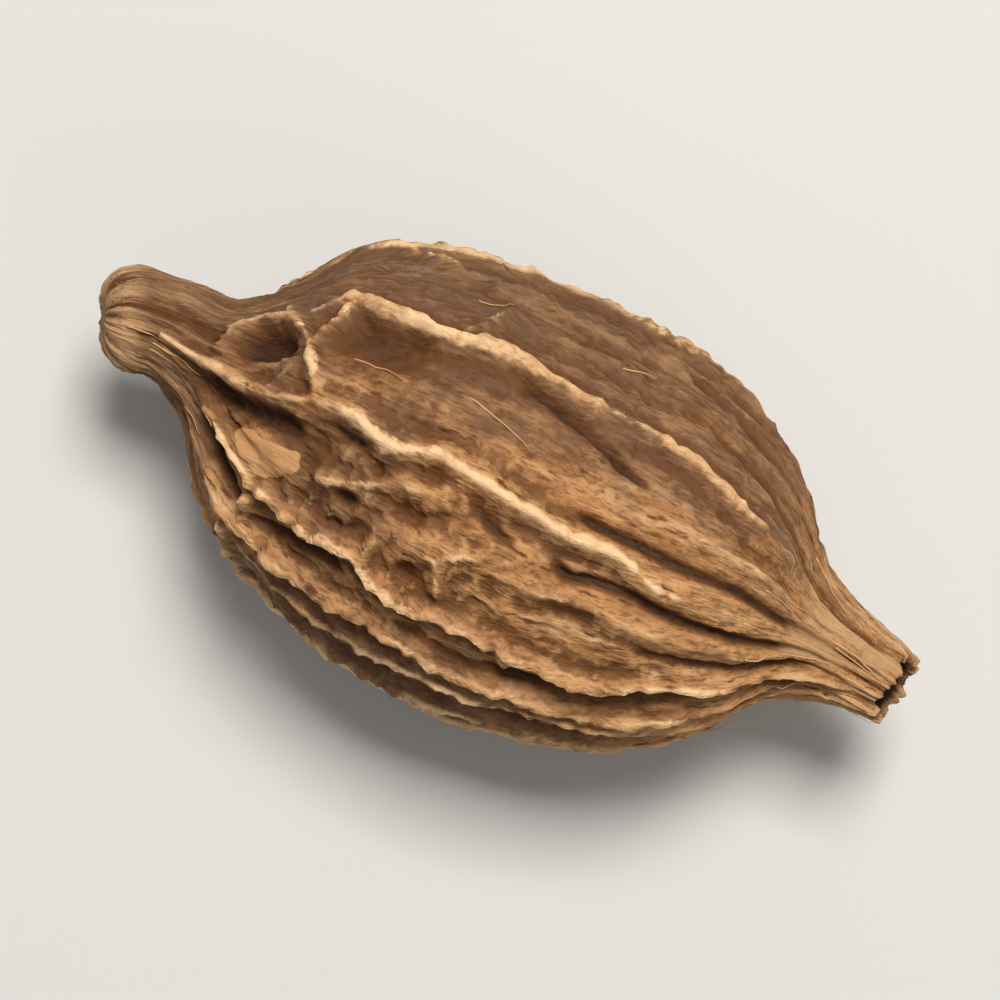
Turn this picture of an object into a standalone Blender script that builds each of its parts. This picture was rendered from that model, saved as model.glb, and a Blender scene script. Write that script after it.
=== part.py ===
"""A dried black cardamom pod, lying on its side.

The pod is one piece: a plump spindle-shaped husk with wavy raised ribs from end to end, a knob at one end
where its stalk broke off, and at the other end the short hollow tube that the flower left behind.
The long axis runs along X, with the stalk knob at -X and the flower tube at +X, and +Z is up.
"""

import bmesh
import bpy
import numpy as np

MM = 0.001

# The pod's outline, in mm, from the stalk scar along the outside to the bottom of the tube's mouth. Each
# point is the distance along the pod from its middle, the distance from its axis, and how far the relief
# stands out there, as a share of what it does at the belly.
OUTLINE_MM = [
    (-14.98, 0.00, 0.00),
    (-14.94, 0.45, 0.08),
    (-14.90, 0.85, 0.16),
    (-14.72, 1.26, 0.22),
    (-14.34, 1.56, 0.26),
    (-13.74, 1.68, 0.28),
    (-13.00, 1.62, 0.30),
    (-12.30, 1.72, 0.35),
    (-11.60, 1.92, 0.42),
    (-10.90, 2.20, 0.52),
    (-10.00, 3.04, 0.68),
    (-9.10, 4.05, 0.82),
    (-8.00, 5.18, 0.92),
    (-6.25, 6.04, 1.00),
    (-4.35, 6.60, 1.00),
    (-1.65, 6.98, 1.00),
    (1.20, 7.04, 1.00),
    (2.90, 6.86, 1.00),
    (5.15, 6.46, 1.00),
    (7.10, 5.66, 0.94),
    (8.70, 4.56, 0.84),
    (10.00, 3.02, 0.66),
    (10.90, 2.14, 0.54),
    (12.00, 1.62, 0.40),
    (13.20, 1.34, 0.34),
    (14.10, 1.20, 0.30),
    (14.60, 1.16, 0.18),
    (14.54, 1.02, 0.10),
    (13.70, 0.86, 0.06),
    (12.90, 0.70, 0.04),
    (12.60, 0.42, 0.02),
    (12.55, 0.00, 0.00),
]
RIM_POINT = 26  # the outline point on the tube's rim

HEIGHT_SHARE = 0.95  # the pod is a little flatter than it is wide
LOBE_SHARE = 0.035  # three blunt corners, one for each seed chamber
LOBE_TOP_DEG = 90.0
BELLY_SWELL = 0.24 * MM  # broad unevenness of the husk over the seeds
SHOULDER_LEAN = 0.14  # the stalk end's shoulder bulges more towards -Y, by this share of its radius
SHOULDER_AT_MM = (-9.9, 1.5)

TUBE_TILT_DEG = 18.0  # the tube's mouth looks up and a little to one side
TUBE_SWING_DEG = -8.0
TUBE_BEND_MM = (9.5, 14.5)
KNOB_TILT_DEG = -16.0
KNOB_SWING_DEG = 24.0
KNOB_BEND_MM = (-11.5, -15.0)
RIM_SKEW = 0.16 * MM  # the rim is torn at a slant, shorter on top
# The axis strays sideways a little: distance along the pod and how far towards +Y, in mm.
SWAY_MM = [
    (-15, 0.32), (-13, 0.22), (-11, 0.02), (-7, 0.0), (-2, -0.18), (1, -0.26), (4, -0.18), (8, 0.08),
    (12, 0.0), (15, 0.0),
]

# The ribs: where each crest runs round the pod, in degrees from +Y over the top, its height in mm, and how
# far along the pod it starts and ends, in mm from the middle.
RIBS = [
    (3, 0.46, -10, 15),
    (20, 0.28, -4, 15),
    (36, 0.28, -1, 15),
    (51, 0.62, -8.0, 9),
    (71, 0.30, 5, 15),
    (90, 0.66, -14, 6.5),
    (107, 0.36, 1, 15),
    (124, 0.64, -10.6, 14),
    (142, 0.58, -10.4, 12),
    (158, 0.50, -8, 15),
    (176, 0.44, -5, 15),
    (194, 0.56, -11, 15),
    (212, 0.38, -4, 13),
    (231, 0.66, -12, 15),
    (254, 0.66, -10, 14),
    (270, 0.32, -4, 12),
    (286, 0.66, -11, 15),
    (303, 0.38, -3, 13),
    (320, 0.58, -9, 13),
    (338, 0.58, -12, 15),
]
# The ribs on top swing from side to side: for each, places along the pod in mm and its angle at each of them.
RIB_PATHS = {
    3: [
        (-11, 58), (-8, 60), (-7.1, 52), (-6, 55.5), (-3.6, 55.5), (-1.2, 54), (3, 54.5), (5, 57), (7.2, 64),
        (15, 62),
    ],
    4: [(-15, 78), (-8, 74), (0, 72), (5, 76), (8, 79), (15, 84)],
    5: [
        (-15, 98), (-11.5, 99), (-10.6, 101), (-9, 95.3), (-7, 91), (-5.7, 88.7), (-4.9, 90.2), (-3.8, 88.9),
        (-1.7, 87.9), (0.4, 89.3), (3.3, 91.2), (4.9, 94), (7, 96.6), (9.4, 98), (15, 100),
    ],
    6: [(-15, 110), (-8, 107), (1, 107), (7, 109), (10, 113), (15, 114)],
    7: [
        (-12, 118), (-10.3, 118.5), (-9.5, 118.5), (-8.3, 120.5), (-7.6, 126), (-6.5, 127), (-4.7, 124.8),
        (-3.5, 124), (-1.7, 130.5), (-0.6, 129), (0.7, 126.2), (1.8, 128.6), (3, 132), (5.4, 132.5),
        (6.8, 129), (15, 129),
    ],
    8: [(-12, 140), (-9.5, 147), (-8.4, 149), (-7.4, 147), (-4, 144), (3, 147), (6, 149), (15, 145)],
}
RIB_HALF_WIDTH = 0.36 * MM
QUIET_RIB_SHARE = 0.45  # how uneven the other ribs are, beside those on top
RIB_FADE = 1.4 * MM  # the length over which a rib rises from the husk
GUTTER_SHARE = 0.26  # the groove at a rib's foot, as a share of its height
SINK_SHARE = 0.035  # how far the husk sinks between two ribs, as a share of their distance
SHARES_NARROW = (0.0, 0.25, 0.5, 0.75)  # the mesh's columns between two ribs, as shares of the gap
SHARES_WIDE = (0.0, 0.17, 0.38, 0.62, 0.83)
WIDE_GAP_DEG = 20.5
RESTING_RIBS = (14, 16)  # the pod lies on these two, which are worn flat and have columns along both edges
WORN_SHARE = 0.09  # half the width of the worn strip, as a share of the gap to the next rib
ROWS = 70

# Short raised links between the ribs, which close off pits like a net: each is the two ends, as a place along
# the pod in mm and an angle, and its height in mm.
LINKS = [
    ((-12.8, 98), (-9.1, 95.5), 1.00),
    ((-7.7, 73), (-8.6, 61), 0.40),
    ((-8.6, 61), (-9.0, 48), 0.34),
    ((-7.7, 73), (-7.3, 60), 0.46),
    ((-7.3, 60), (-7.0, 54), 0.50),
    ((-7.7, 73), (-7.1, 83), 0.44),
    ((-7.1, 83), (-6.7, 89), 0.46),
    ((-8.6, 61), (-9.6, 57), 0.36),
    ((-9.6, 57), (-10.4, 66), 0.38),
    ((-10.4, 66), (-10.7, 84), 0.40),
    ((-10.4, 66), (-12.4, 60), 0.40),
    ((-7.9, 82), (-8.3, 92), 0.34),
    ((-7.6, 132), (-7.5, 146), 0.50),
    ((-11.2, 84), (-12.6, 74), 0.40),
    ((-5.6, 108), (-4.2, 103), 0.34),
    ((-4.2, 103), (-3.2, 98), 0.36),
    ((-4.2, 103), (-3.2, 114), 0.32),
    ((-3.2, 98), (-1.8, 96), 0.36),
    ((-3.2, 114), (-3.4, 124), 0.36),
    ((-3.2, 114), (-1.2, 112), 0.34),
    ((-1.2, 112), (0.2, 104), 0.32),
    ((-1.2, 112), (-0.3, 128), 0.34),
    ((1.8, 128), (2.9, 147), 0.30),
    ((-3.6, 55), (-2.4, 36), 0.28),
    ((-8.0, 158), (-7.0, 194), 0.45),
    ((-9.4, 194), (-8.1, 231), 0.50),
    ((-6.4, 194), (-4.0, 212), 0.36),
    ((-7.2, 231), (-8.0, 254), 0.45),
    ((-8.9, 254), (-9.4, 286), 0.45),
    ((-5.0, 254), (-3.6, 270), 0.30),
    ((-7.9, 286), (-7.0, 320), 0.45),
    ((-9.2, 320), (-8.4, 338), 0.50),
    ((-8.8, 338), (-9.6, 363), 0.50),
    ((-6.8, 338), (-5.0, 363), 0.34),
    ((-7.0, 3), (-4.6, 20), 0.34),
]
LINK_HALF_WIDTH = 0.30 * MM

# Dark hollows in the husk: the place along the pod in mm, the angle, half the length and half the width in
# mm, and the depth in mm.
HOLLOWS = [
    (-9.35, 73, 1.05, 0.66, 1.10),
    (-5.9, 66, 2.00, 1.00, 0.40),
    (-6.4, 103, 1.10, 0.80, 0.35),
    (-4.6, 59, 0.55, 0.25, 0.30),
    (-7.35, 87.3, 0.28, 0.22, 0.35),
    (-4.7, 109.4, 0.36, 0.32, 0.45),
    (-3.6, 109.3, 0.30, 0.26, 0.42),
    (-4.7, 120, 0.28, 0.26, 0.35),
    (-3.85, 98.7, 0.42, 0.28, 0.40),
    (-2.45, 93, 0.55, 0.28, 0.36),
    (-2.6, 104, 0.80, 0.50, 0.26),
    (-1.8, 120, 0.60, 0.40, 0.32),
    (3.3, 110, 1.00, 0.50, 0.26),
    (-9.3, 212, 1.20, 0.70, 0.50),
    (-9.4, 270, 1.20, 0.80, 0.50),
    (-9.0, 329, 1.20, 0.60, 0.45),
]
# A smooth papery scrap of the outer skin that still lies on the husk: its place, angle, half length, half
# width and thickness, in mm.
SCRAP = (-7.80, 114.5, 1.20, 0.72, 0.14)

# Long slits between the folds of the husk: for each, half its width and its depth in mm, then the places that
# it runs through, in mm along the pod and degrees round it.
SLITS = [
    (0.25, 0.90, [(-10.4, 128), (-9.8, 133), (-9.1, 136), (-8.4, 138), (-7.8, 139.5), (-7.3, 141)]),
    (0.36, 0.75, [(-11.0, 108), (-9.3, 104.5), (-7.6, 100.5), (-6.8, 101)]),
    (0.15, 0.42, [(-6.3, 92), (-5.4, 94), (-4.2, 93.5)]),
    (0.24, 0.50, [(-7.4, 141), (-5.8, 135.5), (-4.3, 131.5), (-3.6, 134)]),
    (0.17, 0.40, [(-1.5, 57), (-0.3, 59.5), (0.9, 61.8), (2.0, 64.5), (3.5, 68.8), (4.5, 70.6)]),
    (0.16, 0.45, [(2.0, 84.6), (3.2, 86), (4.6, 86.3), (6.1, 87.5), (8.4, 87.8), (10.1, 89.5), (13.8, 96)]),
    (0.17, 0.48, [(2.0, 99), (2.9, 101.3), (3.9, 99.8), (5.3, 100.2), (6.8, 103.4), (10, 106), (12.5, 107)]),
    (0.15, 0.34, [(5.8, 117.5), (7.1, 118), (9.0, 119), (11.5, 122)]),
    (0.28, 0.55, [(1.5, 139), (3.0, 140.5), (5.5, 140.5), (7.0, 138.5), (8.5, 138), (10.5, 138)]),
    (0.22, 0.40, [(2.0, 168), (4.7, 169), (7.0, 168), (9.5, 167)]),
    (0.18, 0.36, [(-1.2, 93.5), (0, 98), (1.0, 99.6)]),
    (0.15, 0.30, [(2.0, 8), (4.2, 20), (6.5, 24), (8.8, 25), (11.5, 30)]),
    (0.14, 0.26, [(5.0, 40), (8.0, 44), (10.5, 50), (13.0, 54)]),
    (0.14, 0.24, [(3.5, 356), (6.0, 362), (8.2, 365), (9.7, 364), (11.5, 362)]),
    (0.13, 0.22, [(-4.5, 28), (-1.0, 31), (2.5, 30)]),
]
MORE_SLITS = 30  # slits at random places on the sides and the underside
SLIT_LEAST_HALF = 0.22  # the least half width of a slit that the mesh can hold, in mm

NET_HEIGHT = 0.30 * MM  # the knobbly net between the ribs
NET_CELLS = (27, 40)  # its cells along and round the pod
NET_BEND = (0.016, 0.012)  # how far it strays along and round, as shares of the length and of a turn
NET_BEND_CELLS = (13, 17)
NETTED_SPOT = (-2.6, 107, 4.4, 2.4)  # where the net is strongest: place, angle, half length and half width
CALM_DEG = 8.0  # round this angle the husk has little net
END_RIDGE_HEIGHT = 0.13 * MM  # the fine lengthwise ridges of the knob and the tube
END_RIDGE_CELLS = (7, 24)
REST_LEVEL = -6.64 * MM  # the surface that the pod lies on, from its axis: the lowest crests are worn flat

HUSK_COLOUR = (0.235, 0.125, 0.055, 1.0)
HUSK_ROUGHNESS = 0.72
SHARP_DEG = 60.0
SEED = 11


def smooth_step(x, low, high):
    """0 at low, 1 at high, eased at both ends."""
    t = np.clip((x - low) / (high - low), 0.0, 1.0)
    return t * t * (3.0 - 2.0 * t)


def along_share(x):
    """The distance along the pod as a share of its length."""
    return (x / MM + 15.0) / 30.0


def field(seed, along, turns, cells_along, cells_round):
    """A smooth random field from -1 to 1. It repeats once round the pod and doesn't repeat along it."""
    values = np.random.default_rng(seed).uniform(-1.0, 1.0, (cells_along + 2, cells_round))
    a = np.clip(along, 0.0, 1.0) * cells_along
    b = np.mod(turns, 1.0) * cells_round
    row = np.floor(a).astype(int)
    column = np.floor(b).astype(int) % cells_round
    fa = smooth_step(a - np.floor(a), 0.0, 1.0)
    fb = smooth_step(b - np.floor(b), 0.0, 1.0)
    after = (column + 1) % cells_round
    near = values[row, column] * (1 - fb) + values[row, after] * fb
    far = values[row + 1, column] * (1 - fb) + values[row + 1, after] * fb
    return near * (1 - fa) + far * fa


def catmull_rom(points, per_span):
    """A smooth curve through the points, with per_span steps between each two."""
    points = np.asarray(points, float)
    ends = np.vstack([2 * points[0] - points[1], points, 2 * points[-1] - points[-2]])
    t = np.linspace(0.0, 1.0, per_span, endpoint=False)[:, None]
    spans = []
    for p0, p1, p2, p3 in zip(ends, ends[1:], ends[2:], ends[3:]):
        slope_in = (p2 - p0) / 2
        slope_out = (p3 - p1) / 2
        spans.append(
            (2 * t**3 - 3 * t**2 + 1) * p1
            + (t**3 - 2 * t**2 + t) * slope_in
            + (3 * t**2 - 2 * t**3) * p2
            + (t**3 - t**2) * slope_out
        )
    return np.vstack([*spans, points[-1:]])


def outline_rows(rows):
    """The outline at even steps: x, radius, share of relief, normal, nearness to the rim, in the mouth."""
    curve = catmull_rom(OUTLINE_MM, 24)
    curve[:, :2] *= MM
    curve[:, 1] = np.maximum(curve[:, 1], 0.0)
    steps = np.hypot(*np.diff(curve[:, :2], axis=0).T)
    length = np.concatenate([[0.0], np.cumsum(steps)])
    at = np.linspace(0.0, length[-1], rows)
    x, radius, share = (np.interp(at, length, curve[:, i]) for i in range(3))
    dx, dr = np.gradient(x), np.gradient(radius)
    norm = np.hypot(dx, dr)
    rim_at = length[24 * RIM_POINT]
    near_rim = np.clip(1.0 - np.abs(at - rim_at) / (1.6 * MM), 0.0, 1.0)
    in_mouth = smooth_step(at, rim_at, rim_at + 0.6 * MM)
    return [a[:, None] for a in (x, radius, share, -dr / norm, dx / norm, near_rim, in_mouth)]


def rib_angles(x):
    """The angle of every rib's crest at each x, in turns, as an array with one last axis for the ribs."""
    along = along_share(x)
    angles = []
    for number, (angle, *_) in enumerate(RIBS):
        start = angle / 360.0 + 0 * x
        broad, short = 0.009, 0.0040
        if number in RIB_PATHS:
            places, degrees = zip(*RIB_PATHS[number])
            start = np.interp(x / MM, places, degrees) / 360.0
            broad = 0.0
        bend = broad * field(SEED, along, start, 6, 9) + short * field(SEED + 1, along, start, 19, 20)
        angles.append(start + bend)
    return np.stack(angles, -1)


def columns():
    """The mesh's columns round the pod: for each, the rib before it and its share of the gap after it."""
    found = []
    for number, (angle, *_) in enumerate(RIBS):
        gap = (RIBS[(number + 1) % len(RIBS)][0] - angle) % 360.0
        shares = list(SHARES_WIDE if gap > WIDE_GAP_DEG else SHARES_NARROW)
        if number in RESTING_RIBS:
            shares.append(WORN_SHARE)
        if number + 1 in RESTING_RIBS:
            shares.append(1.0 - WORN_SHARE)
        found += [(number, share) for share in sorted(shares)]
    return found


def rib_height(x):
    """The height of every rib at each x, with one last axis for the ribs: ragged, fading at both ends."""
    along = along_share(x)
    heights = []
    for number, (_, height_mm, start_mm, end_mm) in enumerate(RIBS):
        tooth = field(SEED + 20 + number, along, 0 * x, 17, 2)
        notch = field(SEED + 50 + number, along, 0 * x, 36, 2)
        present = smooth_step(x, start_mm * MM - RIB_FADE, start_mm * MM + RIB_FADE)
        present = present * (1.0 - smooth_step(x, end_mm * MM - RIB_FADE, end_mm * MM + RIB_FADE))
        uneven = 1.0 if number in RIB_PATHS else QUIET_RIB_SHARE
        heights.append(height_mm * MM * present * (0.86 + uneven * (0.24 * tooth + 0.14 * notch)))
    return np.stack(heights, -1)


def rib_profile(away, height, half):
    """A thin crest on a low broad fold, with a groove along its foot."""
    thin = np.exp(-((away / (0.60 * half)) ** 1.25))
    broad = np.exp(-((away / (1.6 * half)) ** 2))
    crest = height * (0.60 * thin + 0.40 * broad)
    groove = GUTTER_SHARE * height * np.exp(-(((away / half - 2.0) / 0.8) ** 2))
    return crest, groove


def line_distance(x, turns, radius, start, end):
    """The distance of points on the husk from a short line on it."""
    across = (np.mod(turns - start[1] / 360.0 + 0.5, 1.0) - 0.5) * 2 * np.pi * radius
    run = (end[0] - start[0]) * MM
    run_across = (end[1] - start[1]) / 360.0 * 2 * np.pi * radius
    ahead = x - start[0] * MM
    share = np.clip((ahead * run + across * run_across) / (run**2 + run_across**2), 0.0, 1.0)
    return np.hypot(ahead - share * run, across - share * run_across)


def slit_of(x, turns, radius, half_mm, depth_mm, path):
    """How deep a long slit cuts into the husk: it runs through the places of its path, and its ends fade."""
    away = np.full(x.shape, 1.0)
    for start, end in zip(path, path[1:]):
        away = np.minimum(away, line_distance(x, turns, radius, start, end))
    first, last = path[0][0] * MM, path[-1][0] * MM
    ease = min(0.9 * MM, 0.4 * (last - first))
    begun = smooth_step(x, first - 0.1 * MM, first + ease)
    ended = smooth_step(x, last - ease, last + 0.1 * MM)
    half = max(half_mm, SLIT_LEAST_HALF) * MM
    return depth_mm * MM * begun * (1.0 - ended) * np.exp(-((away / half) ** 2))


def more_slits():
    """The slits at random places, as in the list of slits."""
    chance = np.random.default_rng(SEED + 30)
    found = []
    for _ in range(MORE_SLITS):
        start_mm = chance.uniform(-9.0, 7.0)
        run_mm = chance.uniform(1.5, 5.5)
        angle_deg = chance.uniform(178, 344)
        bends = angle_deg + np.cumsum(chance.normal(0.0, 3.0, 4))
        path = [(start_mm + run_mm * k / 3, float(bend)) for k, bend in enumerate(bends)]
        found.append((chance.uniform(0.14, 0.26), chance.uniform(0.22, 0.48), path))
    return found


def spot(x, turns, radius, place_mm, angle, half_length_mm, half_width_mm):
    """1 at the middle of an oval spot on the husk, falling to 0 outside it."""
    across = (np.mod(turns - angle / 360.0 + 0.5, 1.0) - 0.5) * 2 * np.pi * radius
    ahead = x - place_mm * MM
    far = (ahead / (half_length_mm * MM)) ** 2 + (across / (half_width_mm * MM)) ** 2
    return np.exp(-(far**2))


def relief_of(x, radius, turns, gap, share, before, after):
    """How far the husk stands out from its plain outline, before it shrinks towards the two ends."""
    along = along_share(x)
    spacing = gap * 2 * np.pi * radius
    half = np.minimum(RIB_HALF_WIDTH, 0.24 * spacing)
    crest, groove = rib_profile(share * spacing, before, half)
    crest_after, groove_after = rib_profile((1.0 - share) * spacing, after, half)
    crest = np.maximum(crest, crest_after)
    groove = np.maximum(groove, groove_after)
    for start, end, height_mm in LINKS:
        away = line_distance(x, turns, radius, start, end)
        fold = 0.55 * np.exp(-((away / (0.62 * LINK_HALF_WIDTH)) ** 1.3))
        fold = fold + 0.45 * np.exp(-((away / (1.7 * LINK_HALF_WIDTH)) ** 2))
        crest = np.maximum(crest, height_mm * MM * fold)
    clear = 1.0 - np.clip(crest / (0.45 * MM), 0.0, 1.0)
    hollow = SINK_SHARE * np.minimum(spacing, 3.0 * MM) * np.sin(np.pi * share)
    for place, angle, length, width, depth_mm in HOLLOWS:
        hollow = hollow + depth_mm * MM * clear * spot(x, turns, radius, place, angle, length, width)
    slit = 0 * x
    for half_mm, depth_mm, path in SLITS + more_slits():
        slit = np.maximum(slit, slit_of(x, turns, radius, half_mm, depth_mm, path))
    scrap = spot(x, turns, radius, *SCRAP[:4])
    calm = smooth_step(np.cos(2 * np.pi * (turns - CALM_DEG / 360.0)), 0.60, 0.80)
    bent_along = along + NET_BEND[0] * field(SEED + 115, along, turns, *NET_BEND_CELLS)
    bent_turns = turns + NET_BEND[1] * field(SEED + 116, along, turns, *NET_BEND_CELLS)
    patches = 0.75 * smooth_step(field(SEED + 101, bent_along, bent_turns, 5, 7), -0.2, 0.7) * (1.0 - calm)
    netted = 0.22 + 0.78 * np.maximum(spot(x, turns, radius, *NETTED_SPOT), patches)
    netted = netted * (1.0 - scrap) * (1.0 - 0.6 * smooth_step(x, -0.5 * MM, 5.0 * MM))
    lumps = 1.0 - np.abs(field(SEED + 3, bent_along, bent_turns, *NET_CELLS))
    net = NET_HEIGHT * (lumps**1.6 - 0.5) * netted
    swell = BELLY_SWELL * field(SEED + 4, along, turns, 5, 5)
    return crest - groove * clear - hollow - slit + net + swell + SCRAP[4] * MM * scrap


def end_ridges(x, radius, turns, in_mouth):
    """The fine lengthwise ridges on the two thin ends of the pod, outside the mouth."""
    at_ends = smooth_step(-radius, -3.4 * MM, -1.8 * MM) * smooth_step(radius, 0.4 * MM, 1.2 * MM)
    at_ends = at_ends * (1.0 - in_mouth)
    ridges = 1.0 - 2.0 * np.abs(field(SEED + 113, along_share(x), turns, *END_RIDGE_CELLS))
    return END_RIDGE_HEIGHT * at_ends * ridges


def spine(x):
    """Where the pod's axis runs, and the two directions across it, for each distance along the pod."""
    grid = np.linspace(-16.0 * MM, 16.0 * MM, 641)
    at_tube = smooth_step(grid, TUBE_BEND_MM[0] * MM, TUBE_BEND_MM[1] * MM)
    at_knob = smooth_step(-grid, -KNOB_BEND_MM[0] * MM, -KNOB_BEND_MM[1] * MM)
    rise = np.radians(TUBE_TILT_DEG * at_tube + KNOB_TILT_DEG * at_knob)
    swing = np.radians(TUBE_SWING_DEG * at_tube + KNOB_SWING_DEG * at_knob)
    tangent = np.stack([np.cos(rise) * np.cos(swing), np.sin(swing), np.sin(rise) * np.cos(swing)], 1)
    centre = np.cumsum(tangent * (grid[1] - grid[0]), 0)
    centre -= centre[len(grid) // 2]
    centre[:, 1] += np.interp(grid / MM, *zip(*SWAY_MM)) * MM
    side = np.stack([-np.sin(swing), np.cos(swing), 0 * swing], 1)
    up = np.cross(tangent, side)
    up /= np.linalg.norm(up, axis=1, keepdims=True)
    return [np.stack([np.interp(x, grid, line[:, i]) for i in range(3)], -1) for line in (centre, side, up)]


def husk_points(rows, comb):
    """The husk's points, row by row round the pod. The first and last rows each lie on one point."""
    x, radius, relief_share, normal_x, normal_out, near_rim, in_mouth = outline_rows(rows)
    rib = np.array([number for number, _ in comb])
    share = np.array([part for _, part in comb])[None, :]
    after = (rib + 1) % len(RIBS)
    angles = rib_angles(x[:, 0])
    heights = rib_height(x[:, 0])
    gap = np.mod(angles[:, after] - angles[:, rib], 1.0)
    turns = angles[:, rib] + share * gap
    x, radius = x + 0 * turns, radius + 0 * turns
    wall = np.maximum(radius, 0.3 * MM)
    relief = relief_share * relief_of(x, wall, turns, gap, share, heights[:, rib], heights[:, after])
    relief[0] = relief[-1] = 0.0
    relief = relief + end_ridges(x, radius, turns, in_mouth)
    angle = 2 * np.pi * turns
    ragged = RIM_SKEW * np.cos(angle - 4.3) + 0.20 * MM * field(SEED + 6, 0.5 + 0 * turns, turns, 2, 11)
    length_at = x + relief * normal_x + ragged * near_rim
    out = np.maximum(radius + relief * normal_out, 0.0)
    body = smooth_step(radius, 2.0 * MM, 5.0 * MM)
    lean = np.exp(-(((x / MM - SHOULDER_AT_MM[0]) / SHOULDER_AT_MM[1]) ** 2)) * SHOULDER_LEAN
    lobes = LOBE_SHARE * body * np.cos(3.0 * (angle - np.radians(LOBE_TOP_DEG)))
    out = out * (1.0 + lobes - lean * np.cos(angle))
    centre, side, up = spine(length_at)
    return (
        centre
        + side * (out * np.cos(angle))[..., None]
        + up * (out * np.sin(angle) * HEIGHT_SHARE)[..., None]
    )


def settle(points):
    """The points with the lowest crests worn flat at z = 0, and the pod's box centred over the origin."""
    points[..., 2] = np.maximum(points[..., 2] - REST_LEVEL, 0.0)
    low, high = points.min((0, 1)), points.max((0, 1))
    points[..., :2] -= (low[:2] + high[:2]) / 2
    return points


def husk_mesh(name, points):
    """One closed surface: rings of faces from the stalk scar to the mouth's bottom, a fan at each end."""
    shape = bmesh.new()
    first = shape.verts.new(points[0, 0])
    rings = [[shape.verts.new(p) for p in row] for row in points[1:-1]]
    last = shape.verts.new(points[-1, 0])
    count = points.shape[1]
    for i in range(count):
        k = (i + 1) % count
        shape.faces.new((first, rings[0][i], rings[0][k]))
        shape.faces.new((last, rings[-1][k], rings[-1][i]))
        for ring, after in zip(rings, rings[1:]):
            shape.faces.new((ring[i], after[i], after[k], ring[k]))
    bmesh.ops.triangulate(shape, faces=[f for f in shape.faces if len(f.verts) == 4])
    bmesh.ops.recalc_face_normals(shape, faces=shape.faces)
    mesh = bpy.data.meshes.new(name)
    shape.to_mesh(mesh)
    shape.free()
    mesh.shade_smooth()
    mesh.set_sharp_from_angle(angle=np.radians(SHARP_DEG))
    return mesh


def husk_material():
    """Dull brown, papery dried husk."""
    material = bpy.data.materials.new("dried_husk")
    material.use_nodes = True
    shader = material.node_tree.nodes["Principled BSDF"]
    shader.inputs["Base Color"].default_value = HUSK_COLOUR
    shader.inputs["Roughness"].default_value = HUSK_ROUGHNESS
    shader.inputs["Metallic"].default_value = 0.0
    return material


def main():
    for old in list(bpy.data.objects):
        bpy.data.objects.remove(old)
    mesh = husk_mesh("pod", settle(husk_points(ROWS, columns())))
    mesh.materials.append(husk_material())
    pod = bpy.data.objects.new("pod", mesh)
    bpy.context.scene.collection.objects.link(pod)


main()
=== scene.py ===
import math

import bpy
import numpy as np
from mathutils import Matrix, Vector


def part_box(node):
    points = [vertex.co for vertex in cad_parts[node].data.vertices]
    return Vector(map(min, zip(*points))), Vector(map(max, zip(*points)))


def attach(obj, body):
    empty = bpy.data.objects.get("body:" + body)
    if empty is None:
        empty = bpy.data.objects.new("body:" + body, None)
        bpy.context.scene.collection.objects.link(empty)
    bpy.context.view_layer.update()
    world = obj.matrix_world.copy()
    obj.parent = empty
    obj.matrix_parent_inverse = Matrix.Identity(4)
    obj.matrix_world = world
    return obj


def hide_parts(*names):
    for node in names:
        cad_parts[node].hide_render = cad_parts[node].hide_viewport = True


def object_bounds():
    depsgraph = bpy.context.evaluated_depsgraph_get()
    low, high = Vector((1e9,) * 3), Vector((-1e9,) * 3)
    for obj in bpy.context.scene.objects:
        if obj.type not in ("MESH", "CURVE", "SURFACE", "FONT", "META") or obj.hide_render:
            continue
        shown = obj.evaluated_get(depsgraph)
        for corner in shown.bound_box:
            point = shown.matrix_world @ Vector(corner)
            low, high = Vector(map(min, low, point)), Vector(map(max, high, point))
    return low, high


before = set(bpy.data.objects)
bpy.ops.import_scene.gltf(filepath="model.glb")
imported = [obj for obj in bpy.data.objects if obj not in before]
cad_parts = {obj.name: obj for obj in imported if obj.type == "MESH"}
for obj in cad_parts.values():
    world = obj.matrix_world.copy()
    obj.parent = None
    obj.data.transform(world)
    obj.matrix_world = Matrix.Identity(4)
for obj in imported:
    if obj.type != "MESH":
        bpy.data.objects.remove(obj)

plain_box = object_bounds()

# The husk: the whole dried fruit, one closed skin over its seeds, from the stalk knob to the flower tube.
# It is a stiff, papery, fibrous hull. Its long ribs, links, hollows and knobbly net shrank out of it as it
# dried over a fire, and the two ribs that it lies on are worn flat.
MM = 0.001

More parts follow.
